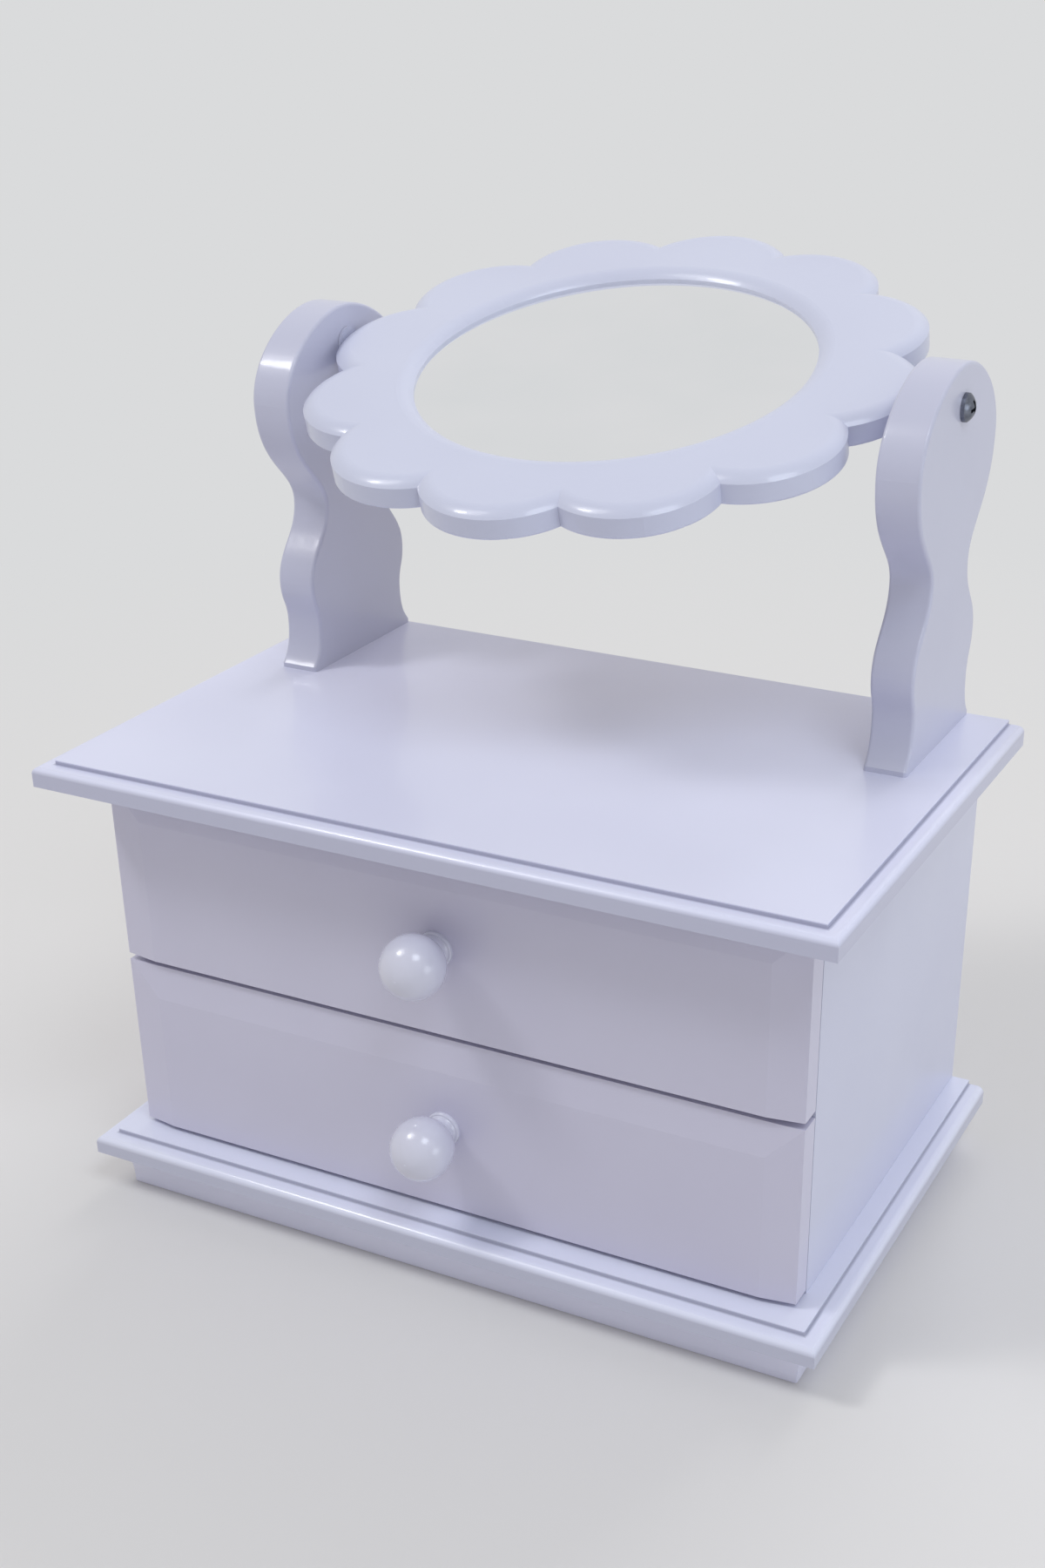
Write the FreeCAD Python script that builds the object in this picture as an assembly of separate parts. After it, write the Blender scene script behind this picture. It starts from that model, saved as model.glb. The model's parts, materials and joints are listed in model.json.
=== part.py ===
import FreeCAD, Part
import math
import os

# Makeup box with two drawers and a tilting round mirror with a scalloped frame.
# Millimetres. +X is to the right, +Y to the back, +Z up.
# The origin lies on the table, under the centre of the whole outline, mirror included.

Vector = FreeCAD.Vector

# Cabinet
cabinet_width = 224.6
cabinet_depth = 143.5
cabinet_height = 121.3
side_thickness = 9.0
back_thickness = 3.5
back_rebate_width = 4.5
shelf_thickness = 6.0
shelf_housing_depth = 3.0
shelf_setback = 1.0
joinery_gap = 0.1

# Top board
top_thickness = 7.4
top_front_overhang = 16.4
top_side_overhang = 12.7
top_bead_round = 2.0
top_quirk_inset = 5.0
top_quirk_depth = 1.3

# Base board and plinth
base_thickness = 7.4
base_front_overhang = 12.2
base_side_overhang = 11.2
base_bead_round = 2.4
base_quirk_inset = 5.3
base_quirk_depth = 1.4
plinth_height = 13.4
plinth_thickness = 7.0
plinth_cove_depth = 2.2
plinth_cove_height = 10.9

# Drawer fronts
front_thickness = 9.0
front_bevel_width = 10.9
front_bevel_depth = 1.6
reveal_bottom = 1.6
reveal_middle = 2.2
reveal_top = 2.4
front_rear_gap = 0.4

# Drawer boxes
box_side_thickness = 6.0
box_back_thickness = 6.0
box_bottom_thickness = 3.0
box_groove_depth = 2.5
box_groove_height = 4.0
box_side_gap = 0.8
box_run_gap = 0.3
box_headroom = 2.5
box_rear_gap = 4.0

# Drawer knobs
knob_diameter = 19.0
knob_projection = 22.0
knob_foot_diameter = 11.0
knob_foot_thickness = 1.2
knob_foot_round = 0.6
knob_neck_diameter = 9.5
knob_neck_hollow = 0.5
knob_drop = 1.0
knob_screw_diameter = 3.8
knob_screw_engagement = 9.0
knob_screw_hole_gap = 0.2

# Mirror posts, as half widths at heights above the top board
post_thickness = 13.0
post_foot_half = 29.0
post_foot_nib = 1.5
post_narrow_half = 24.6
post_narrow_height = 14.0
post_belly_half = 27.6
post_belly_height = 28.0
post_waist_half = 16.6
post_waist_height = 52.0
post_head_half = 34.0
post_head_below_pivot = 13.5
post_crown_above_pivot = 12.0
post_edge_radius = 1.0
post_flare_share = 0.7
post_narrow_pull = 0.5
post_belly_pull = 0.45
post_waist_pull = 0.3
post_head_pull = 0.6
edge_tolerance = 0.001

# Mirror frame
lobe_count = 12
lobe_tip_radius = 92.8
notch_radius = 83.7
frame_thickness = 8.4
frame_round_width = 4.8
frame_round_depth = 2.2
frame_back_round = 0.8
frame_lip_thickness = 2.9
opening_radius = 59.9
rebate_width = 4.5
rest_tilt = 14.8
swing_clearance = 6.2

# Mirror glass, pad and backing board
glass_thickness = 4.0
glass_edge_gap = 0.3
backing_overlap = 6.0
backing_thickness = 2.5
backing_screw_count = 6
backing_screw_diameter = 2.4
backing_screw_depth = 4.0

# Tilt pivots
pivot_screw_diameter = 4.2
pivot_head_diameter = 8.0
pivot_head_height = 3.1
pivot_screw_grip = 15.0
pivot_running_gap = 0.05
washer_diameter = 10.0
washer_thickness = 0.8
washer_bore_gap = 0.1

# Fixings
wood_screw_diameter = 3.5
wood_screw_head_diameter = 6.8
wood_screw_length = 28.0
post_screw_inset = 4.9
post_screw_spacing = 30.0
base_screw_count = 3
base_screw_end_margin = 20.0
dowel_diameter = 5.0
dowel_length = 20.0
dowel_depth_in_top = 5.0
dowel_front_margin = 22.0
dowel_spacing = 55.0
pin_diameter = 1.6
pin_head_diameter = 3.4
pin_head_height = 0.6
pin_length = 13.0
back_pin_side_count = 4
back_pin_end_margin = 15.0
box_dowel_diameter = 3.0
box_dowel_length = 16.0
box_dowel_depth_in_front = 5.0
box_pin_bottom_count = 3
box_pin_end_margin = 20.0
box_joint_levels = (0.33, 0.75)
recess_width = 1.0
recess_depth = 1.3
recess_arm_share = 0.28
pan_head_diameter_ratio = 2.1
pan_head_height_ratio = 0.6
pan_head_rim_share = 0.35

# Levels
base_bottom_z = plinth_height
base_top_z = base_bottom_z + base_thickness
top_bottom_z = base_top_z + cabinet_height
top_top_z = top_bottom_z + top_thickness
front_height = (cabinet_height - reveal_bottom - reveal_middle - reveal_top) / 2
lower_front_z = base_top_z + reveal_bottom
upper_front_z = lower_front_z + front_height + reveal_middle
shelf_top_z = upper_front_z - reveal_middle / 2 + shelf_thickness / 2
shelf_bottom_z = shelf_top_z - shelf_thickness
pivot_height = lobe_tip_radius + swing_clearance
pivot_z = top_top_z + pivot_height

# Depths, with the whole outline centred on Y = 0
half_frame = frame_thickness / 2
tilt = math.radians(rest_tilt)
rim_reach = (lobe_tip_radius - frame_back_round) * math.cos(tilt)
rim_reach += (half_frame - frame_back_round) * math.sin(tilt) + frame_back_round
front_reach = max(top_front_overhang, knob_projection)
outline_depth = front_reach + cabinet_depth - post_foot_half + rim_reach
front_face_y = front_reach - outline_depth / 2
top_front_y = front_face_y - top_front_overhang
back_y = front_face_y + cabinet_depth
post_y = back_y - post_foot_half
base_front_y = front_face_y - base_front_overhang
front_rear_y = front_face_y + front_thickness
side_front_y = front_rear_y + front_rear_gap
back_inner_y = back_y - back_thickness

# Widths, from the middle to the right
side_outer_x = cabinet_width / 2
side_inner_x = side_outer_x - side_thickness
top_half_width = side_outer_x + top_side_overhang
base_half_width = side_outer_x + base_side_overhang
plinth_inner_x = base_half_width - base_quirk_inset - plinth_thickness
box_outer_x = side_inner_x - box_side_gap
box_inner_x = box_outer_x - box_side_thickness
post_inner_x = lobe_tip_radius + washer_thickness + 2 * pivot_running_gap
post_outer_x = post_inner_x + post_thickness


def save(name, shape):
    shape.exportStep("parts/" + name + ".step")


def block(x0, x1, y0, y1, z0, z1):
    return Part.makeBox(x1 - x0, y1 - y0, z1 - z0, Vector(x0, y0, z0))


def cylinder(diameter, length, start, direction):
    return Part.makeCylinder(diameter / 2, length, start, direction)


def line(a, b):
    return Part.makeLine(a, b)


def arc(a, middle, b):
    return Part.Arc(a, middle, b).toShape()


def curve(*poles):
    bezier = Part.BezierCurve()
    bezier.setPoles(list(poles))
    return bezier.toShape()


def face_of(edges):
    return Part.Face(Part.Wire(Part.__sortEdges__(edges)))


def polyline_face(points):
    return Part.Face(Part.makePolygon(points + [points[0]]))


def bow_middle(run, rise):
    # Halfway point of an arc that starts level and climbs by rise over run.
    radius = (run ** 2 + rise ** 2) / (2 * rise)
    angle = math.asin(run / radius) / 2
    return radius * math.sin(angle), radius * (1 - math.cos(angle))


def round_corner(center, radius, angle):
    # Middle point of a quarter round about a centre, in an X-Z profile.
    return center + Vector(math.cos(angle), 0, math.sin(angle)) * radius


def revolve_about_z(edges):
    return face_of(edges).revolve(Vector(0, 0, 0), Vector(0, 0, 1), 360)


def mirrored(shape):
    return shape.mirror(Vector(0, 0, 0), Vector(1, 0, 0))


def both_sides(shapes):
    right = list(shapes)
    return right + [mirrored(shape) for shape in right]


def cut_all(shape, tools):
    return shape.cut(Part.makeCompound(list(tools)))


def spread(first, last, count):
    if count == 1:
        return [(first + last) / 2]
    return [first + (last - first) * i / (count - 1) for i in range(count)]


# Boards with a quirk and bead worked along the edges

def moulded_section(left, right, bottom, thickness, bead_round, inset, quirk, ends, place):
    # Board section between left and right. place(u, z) puts a section point in space.
    bead_top = bottom + thickness - quirk
    top = bottom + thickness
    corner = bead_round * (1 - math.sqrt(0.5))
    edges = []
    lower = {}
    upper = {}
    for end, inward, worked in ((left, 1, ends[0]), (right, -1, ends[1])):
        lower[end] = place(end, bottom)
        if not worked:
            upper[end] = place(end, top)
            edges.append(line(lower[end], upper[end]))
            continue
        face_top = place(end, bead_top - bead_round)
        round_middle = place(end + inward * corner, bead_top - corner)
        round_end = place(end + inward * bead_round, bead_top)
        quirk_foot = place(end + inward * inset, bead_top)
        upper[end] = place(end + inward * inset, top)
        edges.append(line(lower[end], face_top))
        edges.append(arc(face_top, round_middle, round_end))
        edges.append(line(round_end, quirk_foot))
        edges.append(line(quirk_foot, upper[end]))
    edges.append(line(lower[left], lower[right]))
    edges.append(line(upper[left], upper[right]))
    return face_of(edges)


def moulded_board(half_width, front_y, bottom, thickness, bead_round, inset, quirk):
    # The bead runs along the front and both sides with mitred corners; the back is square.
    across = moulded_section(-half_width, half_width, bottom, thickness, bead_round, inset, quirk,
                             (True, True), lambda u, z: Vector(u, front_y, z))
    along = moulded_section(front_y, back_y, bottom, thickness, bead_round, inset, quirk,
                            (True, False), lambda u, z: Vector(-half_width, u, z))
    lengthwise = across.extrude(Vector(0, back_y - front_y, 0))
    crosswise = along.extrude(Vector(2 * half_width, 0, 0))
    return lengthwise.common(crosswise)


# Fasteners, each drawn pointing along +Z with its head below the seat at Z = 0

def placed(shape, seat, direction):
    turned = shape.copy()
    turned.Placement = FreeCAD.Placement(seat, FreeCAD.Rotation(Vector(0, 0, 1), direction))
    return turned


def cross_recess(head_diameter, crown_z):
    # Two crossed slots down into a head whose highest point is at crown_z.
    arm = head_diameter * recess_arm_share
    half = recess_width / 2
    start = crown_z - recess_depth
    end = crown_z + recess_depth
    first = block(-arm, arm, -half, half, start, end)
    return first.fuse(block(-half, half, -arm, arm, start, end))


def pan_screw(diameter, length, head_diameter, head_height):
    shank = diameter / 2
    rim = head_diameter / 2
    rim_height = head_height * pan_head_rim_share
    crown = Vector(0, 0, -head_height)
    edge = Vector(rim, 0, -rim_height)
    run, rise = bow_middle(rim, head_height - rim_height)
    middle = Vector(run, 0, rise - head_height)
    profile = [
        line(Vector(0, 0, length), Vector(shank, 0, length)),
        line(Vector(shank, 0, length), Vector(shank, 0, 0)),
        line(Vector(shank, 0, 0), Vector(rim, 0, 0)),
        line(Vector(rim, 0, 0), edge),
        arc(edge, middle, crown),
        line(crown, Vector(0, 0, length)),
    ]
    screw = revolve_about_z(profile)
    return screw.cut(cross_recess(head_diameter, -head_height))


def small_pan_screw(diameter, length):
    head_diameter = pan_head_diameter_ratio * diameter
    return pan_screw(diameter, length, head_diameter, pan_head_height_ratio * diameter)


def countersunk_solid():
    shank = wood_screw_diameter / 2
    rim = wood_screw_head_diameter / 2
    profile = [
        Vector(0, 0, 0),
        Vector(rim, 0, 0),
        Vector(shank, 0, rim - shank),
        Vector(shank, 0, wood_screw_length),
        Vector(0, 0, wood_screw_length),
    ]
    return polyline_face(profile).revolve(Vector(0, 0, 0), Vector(0, 0, 1), 360)


def countersunk_screw():
    return countersunk_solid().cut(cross_recess(wood_screw_head_diameter, 0))


def panel_pin():
    head = cylinder(pin_head_diameter, pin_head_height, Vector(0, 0, -pin_head_height), Vector(0, 0, 1))
    return head.fuse(cylinder(pin_diameter, pin_length, Vector(0, 0, 0), Vector(0, 0, 1)))


def plain_pin():
    return cylinder(pin_diameter, pin_length, Vector(0, 0, 0), Vector(0, 0, 1))


# Where the cabinet's fixings go

UP = Vector(0, 0, 1)
DOWN = Vector(0, 0, -1)
FORWARD = Vector(0, -1, 0)
BACKWARD = Vector(0, 1, 0)
RIGHT = Vector(1, 0, 0)
LEFT = Vector(-1, 0, 0)
side_middle_x = (side_inner_x + side_outer_x) / 2


def post_screw_seats():
    x = post_inner_x + post_screw_inset
    return [Vector(x, post_y + s * post_screw_spacing / 2, top_bottom_z) for s in (-1, 1)]


def base_screw_seats():
    ys = spread(side_front_y + base_screw_end_margin, back_y - base_screw_end_margin, base_screw_count)
    return [Vector(side_middle_x, y, base_bottom_z) for y in ys]


def top_dowels_right():
    start_z = top_bottom_z + dowel_depth_in_top - dowel_length
    first = side_front_y + dowel_front_margin
    ys = [first, first + dowel_spacing]
    return [cylinder(dowel_diameter, dowel_length, Vector(side_middle_x, y, start_z), UP) for y in ys]


def back_pin_seats():
    x = side_inner_x + back_rebate_width / 2
    zs = spread(base_top_z + back_pin_end_margin, top_bottom_z - back_pin_end_margin, back_pin_side_count)
    return [Vector(x, back_y, z) for z in zs]


post_screws = both_sides(placed(countersunk_screw(), seat, UP) for seat in post_screw_seats())
post_screw_holes = both_sides(placed(countersunk_solid(), seat, UP) for seat in post_screw_seats())
base_screws = both_sides(placed(countersunk_screw(), seat, UP) for seat in base_screw_seats())
base_screw_holes = both_sides(placed(countersunk_solid(), seat, UP) for seat in base_screw_seats())
top_dowels = both_sides(top_dowels_right())
back_pins = both_sides(placed(panel_pin(), seat, FORWARD) for seat in back_pin_seats())


# Cabinet

def top_board():
    board = moulded_board(top_half_width, top_front_y, top_bottom_z, top_thickness,
                          top_bead_round, top_quirk_inset, top_quirk_depth)
    return cut_all(board, post_screw_holes + top_dowels)


def base_board():
    board = moulded_board(base_half_width, base_front_y, base_bottom_z, base_thickness,
                          base_bead_round, base_quirk_inset, base_quirk_depth)
    return cut_all(board, base_screw_holes)


def plinth_section(place):
    # Rail section with a cove under the board. place(inset, z) puts a point in space.
    start = base_quirk_inset
    foot = start + plinth_cove_depth
    cove_foot_z = plinth_height - plinth_cove_height
    inner = start + plinth_thickness
    run, rise = bow_middle(plinth_cove_height, plinth_cove_depth)
    cove_middle = place(foot - rise, cove_foot_z + run)
    edges = [
        arc(place(start, plinth_height), cove_middle, place(foot, cove_foot_z)),
        line(place(foot, cove_foot_z), place(foot, 0)),
        line(place(foot, 0), place(inner, 0)),
        line(place(inner, 0), place(inner, plinth_height)),
        line(place(inner, plinth_height), place(start, plinth_height)),
    ]
    return face_of(edges)


def plinth_mitre(outline):
    points = [Vector(x, y, 0) for x, y in outline]
    return polyline_face(points).extrude(Vector(0, 0, plinth_height))


def plinth_front():
    section = plinth_section(lambda inset, z: Vector(-base_half_width, base_front_y + inset, z))
    rail = section.extrude(Vector(2 * base_half_width, 0, 0))
    depth = base_quirk_inset + plinth_thickness
    outline = [
        (-base_half_width, base_front_y),
        (base_half_width, base_front_y),
        (base_half_width - depth, base_front_y + depth),
        (depth - base_half_width, base_front_y + depth),
    ]
    return rail.common(plinth_mitre(outline))


def plinth_right():
    section = plinth_section(lambda inset, z: Vector(base_half_width - inset, base_front_y, z))
    rail = section.extrude(Vector(0, back_y - base_front_y, 0))
    depth = base_quirk_inset + plinth_thickness
    outline = [
        (base_half_width, base_front_y),
        (base_half_width, back_y),
        (plinth_inner_x, back_y),
        (plinth_inner_x, base_front_y + depth),
    ]
    return rail.common(plinth_mitre(outline))


def plinth_back():
    return block(-plinth_inner_x, plinth_inner_x, back_y - plinth_thickness, back_y, 0, plinth_height)


def side_panel_right():
    panel = block(side_inner_x, side_outer_x, side_front_y, back_y, base_top_z, top_bottom_z)
    rebate = block(side_inner_x, side_inner_x + back_rebate_width, back_inner_y, back_y,
                   base_top_z, top_bottom_z)
    housing = block(side_inner_x, side_inner_x + shelf_housing_depth, side_front_y, back_inner_y,
                    shelf_bottom_z, shelf_top_z)
    return cut_all(panel, [rebate, housing] + base_screw_holes + top_dowels + back_pins)


def back_panel():
    half = side_inner_x + back_rebate_width - joinery_gap
    panel = block(-half, half, back_inner_y, back_y, base_top_z + joinery_gap, top_bottom_z - joinery_gap)
    return cut_all(panel, back_pins)


def divider_shelf():
    half = side_inner_x + shelf_housing_depth - joinery_gap
    return block(-half, half, side_front_y + shelf_setback, back_inner_y - joinery_gap,
                 shelf_bottom_z, shelf_top_z)


# Mirror posts

def post_stretch(start, start_pull, end, end_pull, place):
    # Smooth stretch between two stations, upright at both.
    rise = end[1] - start[1]
    return curve(place(start[0], start[1]), place(start[0], start[1] + start_pull * rise),
                 place(end[0], end[1] - end_pull * rise), place(end[0], end[1]))


def post_side(sign):
    # One flank of the post outline, from the foot to the crown.
    place = lambda half, height: Vector(post_inner_x, post_y + sign * half, top_top_z + height)
    foot = (post_foot_half, post_foot_nib)
    narrow = (post_narrow_half, post_narrow_height)
    belly = (post_belly_half, post_belly_height)
    waist = (post_waist_half, post_waist_height)
    head = (post_head_half, pivot_height - post_head_below_pivot)
    crown_height = pivot_height + post_crown_above_pivot
    ellipse = 4 * (math.sqrt(2) - 1) / 3
    flare = (post_foot_half - post_narrow_half) * post_flare_share
    return [
        line(place(post_foot_half, 0), place(*foot)),
        curve(place(*foot), place(foot[0] - flare, foot[1] + flare),
              place(narrow[0], (foot[1] + narrow[1]) / 2), place(*narrow)),
        post_stretch(narrow, post_narrow_pull, belly, post_narrow_pull, place),
        post_stretch(belly, post_belly_pull, waist, post_belly_pull, place),
        post_stretch(waist, post_waist_pull, head, post_head_pull, place),
        curve(place(*head), place(head[0], head[1] + ellipse * (crown_height - head[1])),
              place(head[0] * (1 - ellipse), crown_height), place(0, crown_height)),
    ]


def post_right():
    foot_line = line(Vector(post_inner_x, post_y - post_foot_half, top_top_z),
                     Vector(post_inner_x, post_y + post_foot_half, top_top_z))
    outline = face_of(post_side(-1) + post_side(1) + [foot_line])
    board = outline.extrude(Vector(post_thickness, 0, 0))
    softened = [edge for edge in board.Edges if is_post_rim(edge)]
    board = board.makeFillet(post_edge_radius, softened)
    bore_diameter = pivot_screw_diameter + 2 * pivot_running_gap
    bore = cylinder(bore_diameter, post_thickness, Vector(post_inner_x, post_y, pivot_z), RIGHT)
    return cut_all(board, [bore] + post_screw_holes)


def is_post_rim(edge):
    # Edges of the two flat faces, apart from the foot.
    box = edge.BoundBox
    return box.XLength < edge_tolerance and box.ZMax > top_top_z + edge_tolerance


# Mirror, built flat about its centre with its face along +Z, then tilted into place

def mirror_placement():
    turn = FreeCAD.Rotation(Vector(1, 0, 0), rest_tilt)
    return FreeCAD.Placement(Vector(0, post_y, pivot_z), turn)


def in_place(shape):
    moved = shape.copy()
    moved.Placement = mirror_placement().multiply(moved.Placement)
    return moved


rebate_radius = opening_radius + rebate_width
rebate_floor_z = half_frame - frame_lip_thickness
glass_back_z = rebate_floor_z - glass_thickness
glass_radius = rebate_radius - glass_edge_gap
backing_radius = rebate_radius + backing_overlap
backing_screw_circle = rebate_radius + backing_overlap / 2


def lobe_arc():
    # Radius of the arc through two notches and the tip between them, and its centre's distance.
    half_angle = math.pi / lobe_count
    half_chord = notch_radius * math.sin(half_angle)
    rise = lobe_tip_radius - notch_radius * math.cos(half_angle)
    radius = (half_chord ** 2 + rise ** 2) / (2 * rise)
    return radius, lobe_tip_radius - radius


def front_round(edge_radius, toward):
    # Wide round over the front of an edge: where it leaves the edge, halfway, and where it meets
    # the face. It runs inward from the edge when toward is -1 and outward when it is 1.
    run, fall = bow_middle(frame_round_width, frame_round_depth)
    low = Vector(edge_radius, 0, half_frame - frame_round_depth)
    high = Vector(edge_radius + toward * frame_round_width, 0, half_frame)
    middle = high - Vector(toward * run, 0, fall)
    return low, middle, high


def lobe_disc():
    # Disc of one lobe, with its front edge rounded over and its back edge softened.
    radius, distance = lobe_arc()
    front_low, front_middle, front_high = front_round(radius, -1)
    back_center = Vector(radius - frame_back_round, 0, frame_back_round - half_frame)
    back_high = back_center + Vector(frame_back_round, 0, 0)
    back_low = back_center - Vector(0, 0, frame_back_round)
    profile = [
        line(Vector(0, 0, -half_frame), back_low),
        arc(back_low, round_corner(back_center, frame_back_round, -math.pi / 4), back_high),
        line(back_high, front_low),
        arc(front_low, front_middle, front_high),
        line(front_high, Vector(0, 0, half_frame)),
        line(Vector(0, 0, half_frame), Vector(0, 0, -half_frame)),
    ]
    disc = revolve_about_z(profile)
    disc.translate(Vector(distance, 0, 0))
    return disc


def lobe_sector():
    # The lobe between its two notches, down to the ring's centre.
    half_angle = math.pi / lobe_count
    reach = 2 * lobe_tip_radius
    low = Vector(reach * math.cos(half_angle), -reach * math.sin(half_angle), -half_frame)
    high = Vector(low.x, -low.y, low.z)
    wedge = polyline_face([Vector(0, 0, -half_frame), low, high])
    return lobe_disc().common(wedge.extrude(Vector(0, 0, frame_thickness)))


def opening_tool():
    # Everything inside the frame: the rounded opening in front and the rebate behind.
    beyond = frame_thickness
    round_low, round_middle, round_high = front_round(opening_radius, 1)
    lip_corner = Vector(opening_radius, 0, rebate_floor_z)
    floor_corner = Vector(rebate_radius, 0, rebate_floor_z)
    rear = Vector(rebate_radius, 0, -half_frame - beyond)
    front = Vector(round_high.x, 0, half_frame + beyond)
    profile = [
        arc(round_low, round_middle, round_high),
        line(round_high, front),
        line(front, Vector(0, 0, front.z)),
        line(Vector(0, 0, front.z), Vector(0, 0, rear.z)),
        line(Vector(0, 0, rear.z), rear),
        line(rear, floor_corner),
        line(floor_corner, lip_corner),
        line(lip_corner, round_low),
    ]
    return revolve_about_z(profile)


def on_circle(shape, count):
    copies = []
    for i in range(count):
        copy = shape.copy()
        copy.rotate(Vector(0, 0, 0), Vector(0, 0, 1), 360 * i / count)
        copies.append(copy)
    return copies


def mirror_frame():
    trimmed = lobe_sector().cut(opening_tool())
    sectors = on_circle(trimmed, lobe_count)
    ring = sectors[0].multiFuse(sectors[1:]).removeSplitter()
    return in_place(cut_all(ring, both_sides([pivot_screw()]) + backing_screws_flat()))


def mirror_glass():
    floor = Vector(0, 0, glass_back_z)
    return in_place(cylinder(2 * glass_radius, glass_thickness, floor, UP))


def mirror_pad():
    # Soft disc that fills the rebate between the glass and the backing board.
    floor = Vector(0, 0, -half_frame)
    return in_place(cylinder(2 * glass_radius, glass_back_z + half_frame, floor, UP))


def mirror_backing_board():
    floor = Vector(0, 0, -half_frame - backing_thickness)
    board = cylinder(2 * backing_radius, backing_thickness, floor, UP)
    return in_place(cut_all(board, backing_screws_flat()))


def backing_screws_flat():
    length = backing_thickness + backing_screw_depth
    screw = small_pan_screw(backing_screw_diameter, length)
    start = placed(screw, Vector(0, backing_screw_circle, -half_frame - backing_thickness), UP)
    return on_circle(start, backing_screw_count)


def pivot_screw():
    # Pan-head screw through the right post into the edge of the frame.
    seat_x = post_outer_x + pivot_running_gap
    length = seat_x - lobe_tip_radius + pivot_screw_grip
    screw = pan_screw(pivot_screw_diameter, length, pivot_head_diameter, pivot_head_height)
    return placed(screw, Vector(seat_x, 0, 0), LEFT)


def pivot_washer():
    bore_diameter = pivot_screw_diameter + 2 * washer_bore_gap
    start = Vector(lobe_tip_radius, 0, 0)
    washer = cylinder(washer_diameter, washer_thickness, start, RIGHT)
    return washer.cut(cylinder(bore_diameter, washer_thickness, start, RIGHT))


# Drawers. Each is built from the bottom of its front and the floor that it runs on.

def knob_z(front_z):
    return front_z + front_height / 2 - knob_drop


def box_height():
    return top_bottom_z - shelf_top_z - box_run_gap - box_headroom


def box_bottom_z(floor_z):
    return floor_z + box_run_gap


def panel_z(floor_z):
    return box_bottom_z(floor_z) + box_groove_height


def box_joint_zs(floor_z):
    return [box_bottom_z(floor_z) + level * box_height() for level in box_joint_levels]


box_rear_y = back_inner_y - box_rear_gap


def box_dowels(floor_z):
    x = (box_inner_x + box_outer_x) / 2
    start_y = front_rear_y - box_dowel_depth_in_front
    ends = [Vector(x, start_y, z) for z in box_joint_zs(floor_z)]
    return both_sides(cylinder(box_dowel_diameter, box_dowel_length, end, BACKWARD) for end in ends)


def box_pins(floor_z):
    # Pins through the sides into the box back, and up through the bottom into it.
    y = box_rear_y - box_back_thickness / 2
    side_seats = [Vector(box_outer_x, y, z) for z in box_joint_zs(floor_z)]
    pins = both_sides(placed(plain_pin(), seat, LEFT) for seat in side_seats)
    xs = spread(box_pin_end_margin - box_inner_x, box_inner_x - box_pin_end_margin, box_pin_bottom_count)
    return pins + [placed(panel_pin(), Vector(x, y, panel_z(floor_z)), UP) for x in xs]


def knob_screw(front_z):
    # From inside the drawer, through the front, into the knob.
    length = front_thickness + knob_screw_engagement
    screw = small_pan_screw(knob_screw_diameter, length)
    return placed(screw, Vector(0, front_rear_y, knob_z(front_z)), FORWARD)


def drawer_front(front_z, floor_z):
    # Panel with a bevel along the top and both ends, mitred, and a square lower edge.
    top_z = front_z + front_height
    bevel_y = front_face_y + front_bevel_depth
    panel = block(-side_outer_x, side_outer_x, front_face_y, front_rear_y, front_z, top_z)
    top_cut = polyline_face([
        Vector(-side_outer_x, front_face_y, top_z - front_bevel_width),
        Vector(-side_outer_x, bevel_y, top_z),
        Vector(-side_outer_x, front_face_y, top_z),
    ]).extrude(Vector(2 * side_outer_x, 0, 0))
    end_cut = polyline_face([
        Vector(side_outer_x - front_bevel_width, front_face_y, front_z),
        Vector(side_outer_x, bevel_y, front_z),
        Vector(side_outer_x, front_face_y, front_z),
    ]).extrude(Vector(0, 0, front_height))
    groove_half = box_inner_x + box_groove_depth
    groove = block(-groove_half, groove_half, front_rear_y - box_groove_depth, front_rear_y,
                   panel_z(floor_z), panel_z(floor_z) + box_bottom_thickness)
    screw_hole = cylinder(knob_screw_diameter + 2 * knob_screw_hole_gap, front_thickness,
                          Vector(0, front_face_y, knob_z(front_z)), BACKWARD)
    cuts = [top_cut, end_cut, mirrored(end_cut), groove, screw_hole]
    return cut_all(panel, cuts + box_dowels(floor_z))


def drawer_side_right(floor_z):
    z = box_bottom_z(floor_z)
    side = block(box_inner_x, box_outer_x, front_rear_y, box_rear_y, z, z + box_height())
    groove = block(box_inner_x, box_inner_x + box_groove_depth, front_rear_y, box_rear_y,
                   panel_z(floor_z), panel_z(floor_z) + box_bottom_thickness)
    return cut_all(side, [groove] + box_dowels(floor_z) + box_pins(floor_z))


def drawer_back(floor_z):
    z = box_bottom_z(floor_z)
    board = block(-box_inner_x, box_inner_x, box_rear_y - box_back_thickness, box_rear_y,
                  panel_z(floor_z) + box_bottom_thickness, z + box_height())
    return cut_all(board, box_pins(floor_z))


def drawer_bottom(floor_z):
    half = box_inner_x + box_groove_depth - joinery_gap
    panel = block(-half, half, front_rear_y - box_groove_depth + joinery_gap, box_rear_y,
                  panel_z(floor_z), panel_z(floor_z) + box_bottom_thickness)
    return cut_all(panel, box_pins(floor_z))


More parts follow.
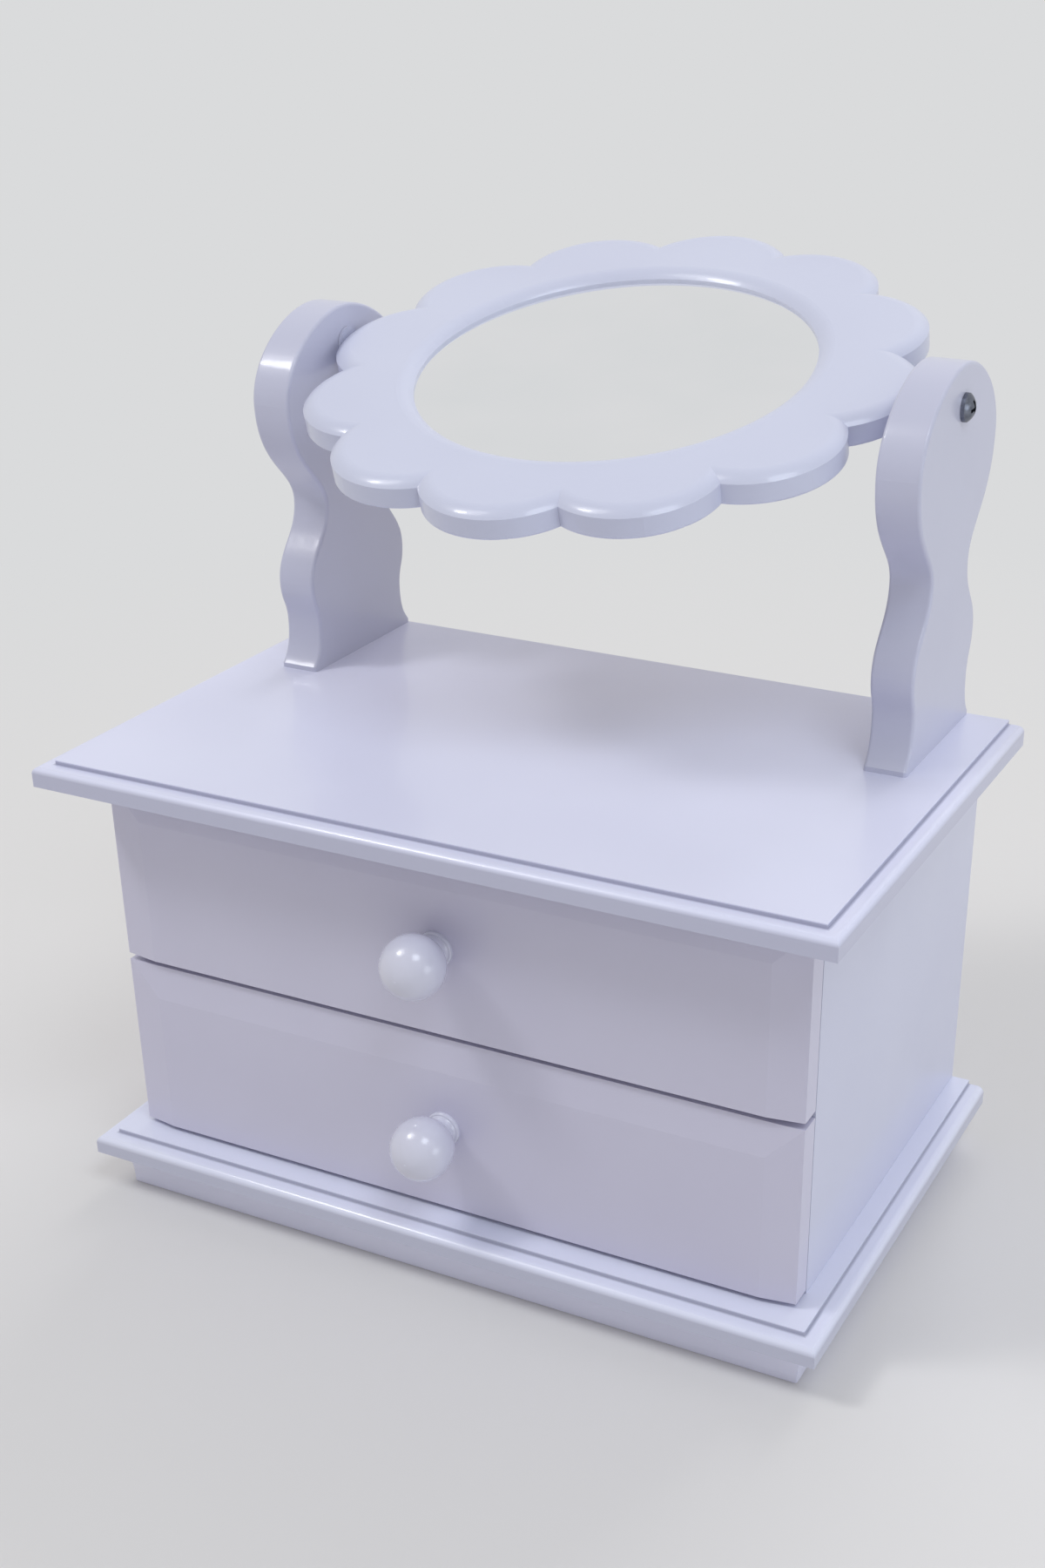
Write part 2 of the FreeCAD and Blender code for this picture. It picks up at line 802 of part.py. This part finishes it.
def knob():
    # Turned knob, drawn along +Z from its seat: flange, neck and ball.
    ball = knob_diameter / 2
    ball_z = knob_projection - ball
    foot = knob_foot_diameter / 2
    neck = knob_neck_diameter / 2
    neck_low = Vector(neck, 0, knob_foot_thickness)
    neck_high = Vector(neck, 0, ball_z - math.sqrt(ball ** 2 - neck ** 2))
    waist = Vector(neck - knob_neck_hollow, 0, (neck_low.z + neck_high.z) / 2)
    rim_center = Vector(foot - knob_foot_round, 0, knob_foot_thickness - knob_foot_round)
    rim_low = rim_center + Vector(knob_foot_round, 0, 0)
    rim_high = rim_center + Vector(0, 0, knob_foot_round)
    profile = [
        line(Vector(0, 0, 0), Vector(foot, 0, 0)),
        line(Vector(foot, 0, 0), rim_low),
        arc(rim_low, round_corner(rim_center, knob_foot_round, math.pi / 4), rim_high),
        line(rim_high, neck_low),
        arc(neck_low, waist, neck_high),
        arc(neck_high, Vector(ball, 0, ball_z), Vector(0, 0, knob_projection)),
        line(Vector(0, 0, knob_projection), Vector(0, 0, 0)),
    ]
    return revolve_about_z(profile)


def placed_knob(front_z):
    seat = Vector(0, front_face_y, knob_z(front_z))
    return placed(knob(), seat, FORWARD).cut(knob_screw(front_z))


def save_drawer(name, front_z, floor_z):
    save(name + "_drawer_front", drawer_front(front_z, floor_z))
    save(name + "_drawer_right_side", drawer_side_right(floor_z))
    save(name + "_drawer_left_side", mirrored(drawer_side_right(floor_z)))
    save(name + "_drawer_back", drawer_back(floor_z))
    save(name + "_drawer_bottom", drawer_bottom(floor_z))
    save(name + "_drawer_dowels", Part.makeCompound(box_dowels(floor_z)))
    save(name + "_drawer_pins", Part.makeCompound(box_pins(floor_z)))
    save(name + "_knob", placed_knob(front_z))
    save(name + "_knob_screw", knob_screw(front_z))


# All pieces, in the order of assembly

os.makedirs("parts", exist_ok=True)
save("plinth_front", plinth_front())
save("plinth_right", plinth_right())
save("plinth_left", mirrored(plinth_right()))
save("plinth_back", plinth_back())
save("base_board", base_board())
save("base_screws", Part.makeCompound(base_screws))
save("right_side_panel", side_panel_right())
save("left_side_panel", mirrored(side_panel_right()))
save("divider_shelf", divider_shelf())
save("back_panel", back_panel())
save("back_panel_pins", Part.makeCompound(back_pins))
save("top_dowels", Part.makeCompound(top_dowels))
save("top_board", top_board())
save("right_post", post_right())
save("left_post", mirrored(post_right()))
save("post_screws", Part.makeCompound(post_screws))

save("mirror_frame", mirror_frame())
save("mirror_glass", mirror_glass())
save("mirror_pad", mirror_pad())
save("mirror_backing_board", mirror_backing_board())
save("backing_screws", in_place(Part.makeCompound(backing_screws_flat())))
save("right_pivot_screw", in_place(pivot_screw()))
save("left_pivot_screw", in_place(mirrored(pivot_screw())))
save("right_pivot_washer", in_place(pivot_washer()))
save("left_pivot_washer", in_place(mirrored(pivot_washer())))

save_drawer("upper", upper_front_z, shelf_top_z)
save_drawer("lower", lower_front_z, base_top_z)
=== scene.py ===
import json
import math

import bpy
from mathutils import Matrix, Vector


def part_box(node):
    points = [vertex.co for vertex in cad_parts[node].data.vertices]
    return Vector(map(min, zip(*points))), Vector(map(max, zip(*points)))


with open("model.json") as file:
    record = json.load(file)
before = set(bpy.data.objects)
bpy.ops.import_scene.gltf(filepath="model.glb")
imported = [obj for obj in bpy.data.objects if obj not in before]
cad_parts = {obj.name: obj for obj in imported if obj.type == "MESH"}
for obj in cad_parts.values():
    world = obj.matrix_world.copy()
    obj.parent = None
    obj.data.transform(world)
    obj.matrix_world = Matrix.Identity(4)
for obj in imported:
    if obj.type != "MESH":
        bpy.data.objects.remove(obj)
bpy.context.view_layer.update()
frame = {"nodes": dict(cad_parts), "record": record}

nodes = frame["nodes"]
MM = 0.001

# Camera of the photograph: millimetres to the right of the box's middle, in front of the top
# board's back edge and above the table, and degrees to the left and down
CAMERA_RIGHT = 270.5
CAMERA_FORWARD = 580.0
CAMERA_HEIGHT = 374.9
CAMERA_TURN = 26.31
CAMERA_DIP = 27.67
FOCAL_PIXELS = 2345.4
IMAGE_LONG_SIDE = 1800
SENSOR_WIDTH = 36.0
CENTRE_PIXEL = (600, 900)
AXIS_PIXEL = (700, 1100)

# Metres between which the camera sees
NEAREST_SEEN = 0.01
FARTHEST_SEEN = 50

# Colours, linear
LACQUER = (0.640, 0.655, 0.800)
LACQUER_SHADE = (0.610, 0.622, 0.770)
KNOB_WHITE = (0.665, 0.665, 0.775)
KNOB_SHADE = (0.645, 0.645, 0.755)
FLOOR = (0.715, 0.700, 0.688)
BACKGROUND = (0.701, 0.708, 0.716)
SKY = (0.48, 0.48, 0.485)
DAYLIGHT = (1.0, 1.0, 1.0)
COOL_DAYLIGHT = (0.92, 1.0, 1.10)

# Lacquer: noise scales per metre, and each relief's strength and height in metres
CLOUD_SCALE = 14
SMEAR_SCALE = 45
WAVE_SCALE = 22
WAVE_RELIEF = (0.25, 0.0006)
PEEL_SCALE = 420
PEEL_RELIEF = (0.12, 0.00012)
LACQUER_SPECULAR = 0.35

# Moulded edges of the boards, in millimetres: the quirk's inset and depth, and the radius of the
# bead below it
TOP_MOULDING = (5.0, 1.3, 2.0)
BASE_MOULDING = (5.3, 1.4, 2.4)

# Painted shade in the quirk, where shade falls: its tone as a share of the paint's colour, and the
# millimetres between which it fades, away from the quirk's wall, below its foot and below the
# board's top
PAINTED_SHADE_TONE = (0.64, 0.64, 0.67)
WALL_FADE = (0.2, 0.9)
FOOT_FADE = (0.6, 0.1)
LIP_FADE = (0.5, 0.1)

# The board's upright edge gets this share of that tone, as painted shade. It fades out over the
# bead, from the bead's low end up to this share of its radius below the quirk's foot.
EDGE_SHADE_SHARE = 0.7
EDGE_END = 0.4

# Softened edges: metres within which vertices count as one, and steps around an edge
WELD_DISTANCE = 0.00001
EDGE_SEGMENTS = 3

# Floor: half its width and the distances of its fading into the background, in metres, the
# stains' scale per metre and their tone as a share of the floor's colour
FLOOR_HALF_WIDTH = 12.0
FLOOR_FADE = (0.25, 0.75)
STAIN_SCALE = 3
STAIN_TONE = 0.985
FLOOR_ROUGHNESS = 0.6

# Lamps, aimed at one point in metres: the direction they stand in from there, distance and size
# in metres, and level. Level 1 lights a surface that faces the lamp so that its colour renders
# as it is written.
LIGHT_TARGET = Vector((0, 0, 0.13))
LAMPS = {
    "left_window": {"direction": (-0.52, -0.36, 0.77), "distance": 2.2, "size": 0.4, "level": 0.15},
    "front_left": {"direction": (-0.45, -0.35, 0.85), "distance": 2.2, "size": 0.9, "level": 0.14},
    "front_right": {"direction": (0.45, -0.35, 0.85), "distance": 2.2, "size": 0.9, "level": 0.19,
                    "colour": COOL_DAYLIGHT},
    "right": {"direction": (0.90, 0.10, 0.45), "distance": 2.2, "size": 1.4, "level": 0.07,
              "colour": COOL_DAYLIGHT, "shines": False},
    "low_right": {"direction": (0.95, -0.20, 0.12), "distance": 1.2, "size": 0.5, "level": 0.09,
                  "colour": COOL_DAYLIGHT},
    "back": {"direction": (0.0, 0.80, 0.60), "distance": 2.2, "size": 1.4, "level": 0.30,
             "shines": False},
}


def new_material(name):
    material = bpy.data.materials.new(name)
    material.use_nodes = True
    tree = material.node_tree
    return material, tree, tree.nodes["Principled BSDF"]


def add(tree, kind, **settings):
    node = tree.nodes.new(kind)
    for key, value in settings.items():
        setattr(node, key, value)
    return node


def object_coordinates(tree, scale=(1, 1, 1)):
    source = add(tree, "ShaderNodeTexCoord")
    mapping = add(tree, "ShaderNodeMapping")
    mapping.inputs["Scale"].default_value = scale
    tree.links.new(source.outputs["Object"], mapping.inputs["Vector"])
    return mapping.outputs["Vector"]


def noise(tree, vector, scale, detail, roughness=0.5):
    node = add(tree, "ShaderNodeTexNoise")
    node.inputs["Scale"].default_value = scale
    node.inputs["Detail"].default_value = detail
    node.inputs["Roughness"].default_value = roughness
    tree.links.new(vector, node.inputs["Vector"])
    return node.outputs["Fac"]


def ramp(tree, value, low, high, from_low=0.3, from_high=0.7):
    # The range it has by default is where most of a noise lies.
    node = add(tree, "ShaderNodeMapRange")
    node.inputs["From Min"].default_value = from_low
    node.inputs["From Max"].default_value = from_high
    node.inputs["To Min"].default_value = low
    node.inputs["To Max"].default_value = high
    tree.links.new(value, node.inputs["Value"])
    return node.outputs["Result"]


def math_node(tree, operation, *values):
    # Each value is a number or a socket.
    node = add(tree, "ShaderNodeMath", operation=operation)
    for i, value in enumerate(values):
        if isinstance(value, (int, float)):
            node.inputs[i].default_value = value
        else:
            tree.links.new(value, node.inputs[i])
    return node.outputs["Value"]


def tinted(colour, tint):
    return tuple(c * t for c, t in zip(colour, tint))


def mix_colours(tree, factor, first, second):
    # Each of the two is a colour or a socket that gives one.
    node = add(tree, "ShaderNodeMix", data_type="RGBA")
    for end, colour in (("A", first), ("B", second)):
        if isinstance(colour, tuple):
            node.inputs[end].default_value = (*colour, 1)
        else:
            tree.links.new(colour, node.inputs[end])
    tree.links.new(factor, node.inputs["Factor"])
    return node.outputs["Result"]


def bump(tree, height, strength, distance, normal=None):
    node = add(tree, "ShaderNodeBump")
    node.inputs["Strength"].default_value = strength
    node.inputs["Distance"].default_value = distance
    tree.links.new(height, node.inputs["Height"])
    if normal is not None:
        tree.links.new(normal, node.inputs["Normal"])
    return node.outputs["Normal"]


def lacquer(name, colour, shade, roughness=(0.28, 0.34), coat=0.35, coat_roughness=0.09, painted_shade=None):
    # Sprayed gloss paint: faint cloudiness, orange peel and slow waves in the surface.
    # Painted shade, if given, builds a socket that is up to 1 where shade is painted into the
    # colour, and 0 elsewhere.
    material, tree, shader = new_material(name)
    place = object_coordinates(tree)
    cloud = noise(tree, place, CLOUD_SCALE, 2)
    paint = mix_colours(tree, ramp(tree, cloud, 0, 1), colour, shade)
    if painted_shade is not None:
        paint = mix_colours(tree, painted_shade(tree), paint, tinted(shade, PAINTED_SHADE_TONE))
    tree.links.new(paint, shader.inputs["Base Color"])
    smear = noise(tree, place, SMEAR_SCALE, 4, 0.6)
    tree.links.new(ramp(tree, smear, *roughness), shader.inputs["Roughness"])
    wave = bump(tree, noise(tree, place, WAVE_SCALE, 2), *WAVE_RELIEF)
    peel = bump(tree, noise(tree, place, PEEL_SCALE, 2), *PEEL_RELIEF, wave)
    tree.links.new(peel, shader.inputs["Normal"])
    shader.inputs["Specular IOR Level"].default_value = LACQUER_SPECULAR
    shader.inputs["Coat Weight"].default_value = coat
    shader.inputs["Coat Roughness"].default_value = coat_roughness
    return material


def grained(name, grain, colours, roughness=None, relief=None, stretch=(1, 1, 1), sockets=None):
    # Two colours, roughness and relief that follow one noise. The grain is its scale per metre,
    # detail and roughness, and the relief has a strength and a height in metres.
    material, tree, shader = new_material(name)
    fibre = noise(tree, object_coordinates(tree, stretch), *grain)
    colour = mix_colours(tree, ramp(tree, fibre, 0, 1), *colours)
    tree.links.new(colour, shader.inputs["Base Color"])
    if roughness is not None:
        tree.links.new(ramp(tree, fibre, *roughness), shader.inputs["Roughness"])
    if relief is not None:
        tree.links.new(bump(tree, fibre, *relief), shader.inputs["Normal"])
    for socket, value in (sockets or {}).items():
        shader.inputs[socket].default_value = value
    return material


def brown_hardboard():
    return grained("hardboard", (260, 6, 0.7), ((0.20, 0.115, 0.06), (0.30, 0.19, 0.11)),
                   roughness=(0.55, 0.75), relief=(0.4, 0.0002))


def grey_felt():
    return grained("grey_felt", (900, 5, 0.7), ((0.22, 0.22, 0.23), (0.34, 0.34, 0.35)),
                   relief=(0.6, 0.0003), sockets={"Roughness": 0.95, "Sheen Weight": 0.3})


def silvered_glass():
    # The roughness follows the noise over its whole range, from clean glass to a breath of dust.
    return grained("silvered_glass", (30, 2), ((0.975, 0.975, 0.98), (0.945, 0.955, 0.96)),
                   roughness=(0.01, 0.035, 0, 1), sockets={"Metallic": 1.0})


def plated_steel(name, dark, light):
    return grained(name, (700, 4, 0.6), (dark, light), roughness=(0.28, 0.38),
                   relief=(0.2, 0.00005), sockets={"Metallic": 1.0})


def bare_beech():
    return grained("beech", (500, 4, 0.6), ((0.50, 0.34, 0.19), (0.62, 0.45, 0.28)),
                   roughness=(0.5, 0.65), stretch=(1, 1, 0.1))


def white_nylon():
    # Painted shade: the white nylon is darkened and toned like the lacquer beside it.
    return grained("white_nylon", (300, 3), ((0.53, 0.54, 0.67), (0.57, 0.58, 0.71)),
                   roughness=(0.35, 0.45))


# The tint paints light or shade into the lacquer's colour.
def lacquer_with_painted_light(name, tint, painted_shade=None):
    return lacquer(name, tinted(LACQUER, tint), tinted(LACQUER_SHADE, tint), painted_shade=painted_shade)


def moulding_painted_shade(node, inset, depth, rounding):
    # Painted shade: the paint is darker in the quirk around the front and the ends of a board,
    # where shade falls, and on the board's upright edges.
    low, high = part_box(node)

    def painted_shade(tree):
        split = add(tree, "ShaderNodeSeparateXYZ")
        tree.links.new(object_coordinates(tree), split.inputs["Vector"])
        height = split.outputs["Z"]
        across = math_node(tree, "ABSOLUTE", split.outputs["X"])
        across = math_node(tree, "SUBTRACT", across, high.x - inset * MM)
        along = math_node(tree, "SUBTRACT", low.y + inset * MM, split.outputs["Y"])
        past_wall = math_node(tree, "ABSOLUTE", math_node(tree, "MAXIMUM", across, along))
        near_wall = ramp(tree, past_wall, 1, 0, *(d * MM for d in WALL_FADE))
        foot = high.z - depth * MM
        above_foot = ramp(tree, height, 0, 1, *(foot - d * MM for d in FOOT_FADE))
        below_lip = ramp(tree, height, 1, 0, *(high.z - d * MM for d in LIP_FADE))
        within = math_node(tree, "MULTIPLY", above_foot, below_lip)
        quirk_shade = math_node(tree, "MULTIPLY", near_wall, within)
        bead_low = foot - rounding * MM
        edge_shade = ramp(tree, height, EDGE_SHADE_SHARE, 0, bead_low, foot - EDGE_END * rounding * MM)
        return math_node(tree, "MAXIMUM", quirk_shade, edge_shade)

    return painted_shade


# Finishes of the CAD nodes

MATERIALS = {
    "white_lacquer": lacquer("white_lacquer", LACQUER, LACQUER_SHADE),
    "knob_lacquer": lacquer("knob_lacquer", KNOB_WHITE, KNOB_SHADE, roughness=(0.21, 0.25),
                            coat=0.7, coat_roughness=0.17),
    "painted_hardboard": lacquer("painted_hardboard", LACQUER, LACQUER_SHADE,
                                 roughness=(0.38, 0.53), coat=0.0),
    "hardboard": brown_hardboard(),
    "grey_felt": grey_felt(),
    "silvered_glass": silvered_glass(),
    "zinc_steel": plated_steel("zinc_steel", (0.52, 0.54, 0.58), (0.66, 0.67, 0.70)),
    "beech": bare_beech(),
    "white_nylon": white_nylon(),
}

# Lit and shaded copies of one lacquer: each set of boards is made lighter or darker, and the fronts
# warmer, as painted light on the top board, base board and plinth and painted shade on the posts,
# frame and fronts.
top = lacquer_with_painted_light("white_lacquer_top_board", (1.16, 1.15, 1.14),
                    moulding_painted_shade("top_board", *TOP_MOULDING))
base = lacquer_with_painted_light("white_lacquer_base_board", (1.17, 1.17, 1.13),
                     moulding_painted_shade("base_board", *BASE_MOULDING))
plinth = lacquer_with_painted_light("white_lacquer_plinth", (1.21, 1.19, 1.16))
posts = lacquer_with_painted_light("white_lacquer_posts", (0.89, 0.88, 0.88))
ring = lacquer_with_painted_light("white_lacquer_frame", (0.955, 0.965, 0.96))
fronts = lacquer_with_painted_light("white_lacquer_fronts", (0.985, 0.94, 0.935))
# Pivot screws: the zinc steel is painted dark, a painted dark reflection on the screw heads.
steel_painted_dark_reflection = plated_steel("steel_painted_dark_reflection", (0.13, 0.14, 0.175), (0.22, 0.235, 0.28))
FINISHES = {
    "top_board": top,
    "base_board": base,
    "plinth_front": plinth,
    "plinth_left": plinth,
    "plinth_right": plinth,
    "plinth_back": plinth,
    "left_post": posts,
    "right_post": posts,
    "mirror_frame": ring,
    "upper_drawer_front": fronts,
    "lower_drawer_front": fronts,
    "left_pivot_screw": steel_painted_dark_reflection,
    "right_pivot_screw": steel_painted_dark_reflection,
}

slot_of = {entry["node"]: entry["material_slot"] for entry in frame["record"]["subparts"]}
for name, obj in nodes.items():
    obj.data.materials.clear()
    obj.data.materials.append(FINISHES.get(name, MATERIALS[slot_of[name]]))


# Softened edges of the painted boards, as sanding and spraying leave them: radius in millimetres,
# and the least angle in degrees of an edge that gets it

BOARD_EDGES = {
    "top_board": (0.5, 40),
    "base_board": (0.5, 40),
    "plinth_front": (0.4, 40),
    "plinth_left": (0.4, 40),
    "plinth_right": (0.4, 40),
    "plinth_back": (0.4, 40),
    "left_side_panel": (0.5, 40),
    "right_side_panel": (0.5, 40),
    "upper_drawer_front": (1.0, 5),
    "lower_drawer_front": (1.0, 5),
}


def soften(obj, radius, least_angle):
    weld = obj.modifiers.new("weld", "WELD")
    weld.merge_threshold = WELD_DISTANCE
    bevel = obj.modifiers.new("soft_edges", "BEVEL")
    bevel.width = radius
    bevel.segments = EDGE_SEGMENTS
    bevel.limit_method = "ANGLE"
    bevel.angle_limit = math.radians(least_angle)
    bevel.harden_normals = True


for name, (radius, least_angle) in BOARD_EDGES.items():
    soften(nodes[name], radius * MM, least_angle)


# Floor and light

def seen_directly(tree):
    # 1 for rays that show the background: from the camera, and by way of gloss or glass.
    path = add(tree, "ShaderNodeLightPath")
    total = path.outputs["Is Camera Ray"]
    for other in ("Is Glossy Ray", "Is Transmission Ray"):
        total = math_node(tree, "MAXIMUM", total, path.outputs[other])
    return total


def floor_material():
    # Pale and matt. Away from the box it fades into the background.
    material, tree, shader = new_material("floor")
    place = object_coordinates(tree)
    stain = noise(tree, place, STAIN_SCALE, 3)
    shade = tuple(c * STAIN_TONE for c in FLOOR)
    colour = mix_colours(tree, ramp(tree, stain, 0, 1), FLOOR, shade)
    tree.links.new(colour, shader.inputs["Base Color"])
    shader.inputs["Roughness"].default_value = FLOOR_ROUGHNESS
    distance = add(tree, "ShaderNodeVectorMath", operation="LENGTH")
    tree.links.new(place, distance.inputs[0])
    fade = ramp(tree, distance.outputs["Value"], 0, 1, *FLOOR_FADE)
    glow = add(tree, "ShaderNodeEmission")
    glow.inputs["Color"].default_value = (*BACKGROUND, 1)
    mixed = add(tree, "ShaderNodeMixShader")
    tree.links.new(math_node(tree, "MULTIPLY", fade, seen_directly(tree)), mixed.inputs[0])
    tree.links.new(shader.outputs["BSDF"], mixed.inputs[1])
    tree.links.new(glow.outputs["Emission"], mixed.inputs[2])
    tree.links.new(mixed.outputs["Shader"], tree.nodes["Material Output"].inputs["Surface"])
    return material


def wide_floor():
    half = FLOOR_HALF_WIDTH
    mesh = bpy.data.meshes.new("floor")
    mesh.from_pydata([(-half, -half, 0), (half, -half, 0), (half, half, 0), (-half, half, 0)],
                     [], [(0, 1, 2, 3)])
    mesh.materials.append(floor_material())
    floor = bpy.data.objects.new("floor", mesh)
    bpy.context.scene.collection.objects.link(floor)


def soft_light(name, direction, distance, size, level, colour=DAYLIGHT, shines=True):
    # A lamp that doesn't shine shows in no gloss or mirror.
    data = bpy.data.lights.new(name, "AREA")
    data.shape = "DISK"
    data.size = size
    data.energy = level * (math.pi * distance) ** 2
    data.color = colour
    light = bpy.data.objects.new(name, data)
    towards = Vector(direction).normalized()
    light.location = LIGHT_TARGET + towards * distance
    light.rotation_euler = towards.to_track_quat("Z", "Y").to_euler()
    light.visible_glossy = shines
    bpy.context.scene.collection.objects.link(light)


def studio():
    wide_floor()
    for name, lamp in LAMPS.items():
        soft_light(name, **lamp)
    world = bpy.data.worlds.new("world")
    bpy.context.scene.world = world
    world.use_nodes = True
    tree = world.node_tree
    background = tree.nodes["Background"]
    colour = mix_colours(tree, seen_directly(tree), SKY, BACKGROUND)
    tree.links.new(colour, background.inputs["Color"])
    background.inputs["Strength"].default_value = 1.0


def photograph_camera():
    data = bpy.data.cameras.new("camera")
    data.sensor_width = SENSOR_WIDTH
    data.lens = FOCAL_PIXELS * SENSOR_WIDTH / IMAGE_LONG_SIDE
    data.shift_x = (CENTRE_PIXEL[0] - AXIS_PIXEL[0]) / IMAGE_LONG_SIDE
    data.shift_y = (AXIS_PIXEL[1] - CENTRE_PIXEL[1]) / IMAGE_LONG_SIDE
    data.clip_start = NEAREST_SEEN
    data.clip_end = FARTHEST_SEEN
    camera = bpy.data.objects.new("camera", data)
    back_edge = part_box("top_board")[1].y
    camera.location = (CAMERA_RIGHT * MM, back_edge - CAMERA_FORWARD * MM, CAMERA_HEIGHT * MM)
    camera.rotation_euler = (math.radians(90 - CAMERA_DIP), 0, math.radians(CAMERA_TURN))
    bpy.context.scene.collection.objects.link(camera)
    bpy.context.scene.camera = camera


studio()
photograph_camera()
bpy.context.scene.view_settings.view_transform = "Standard"
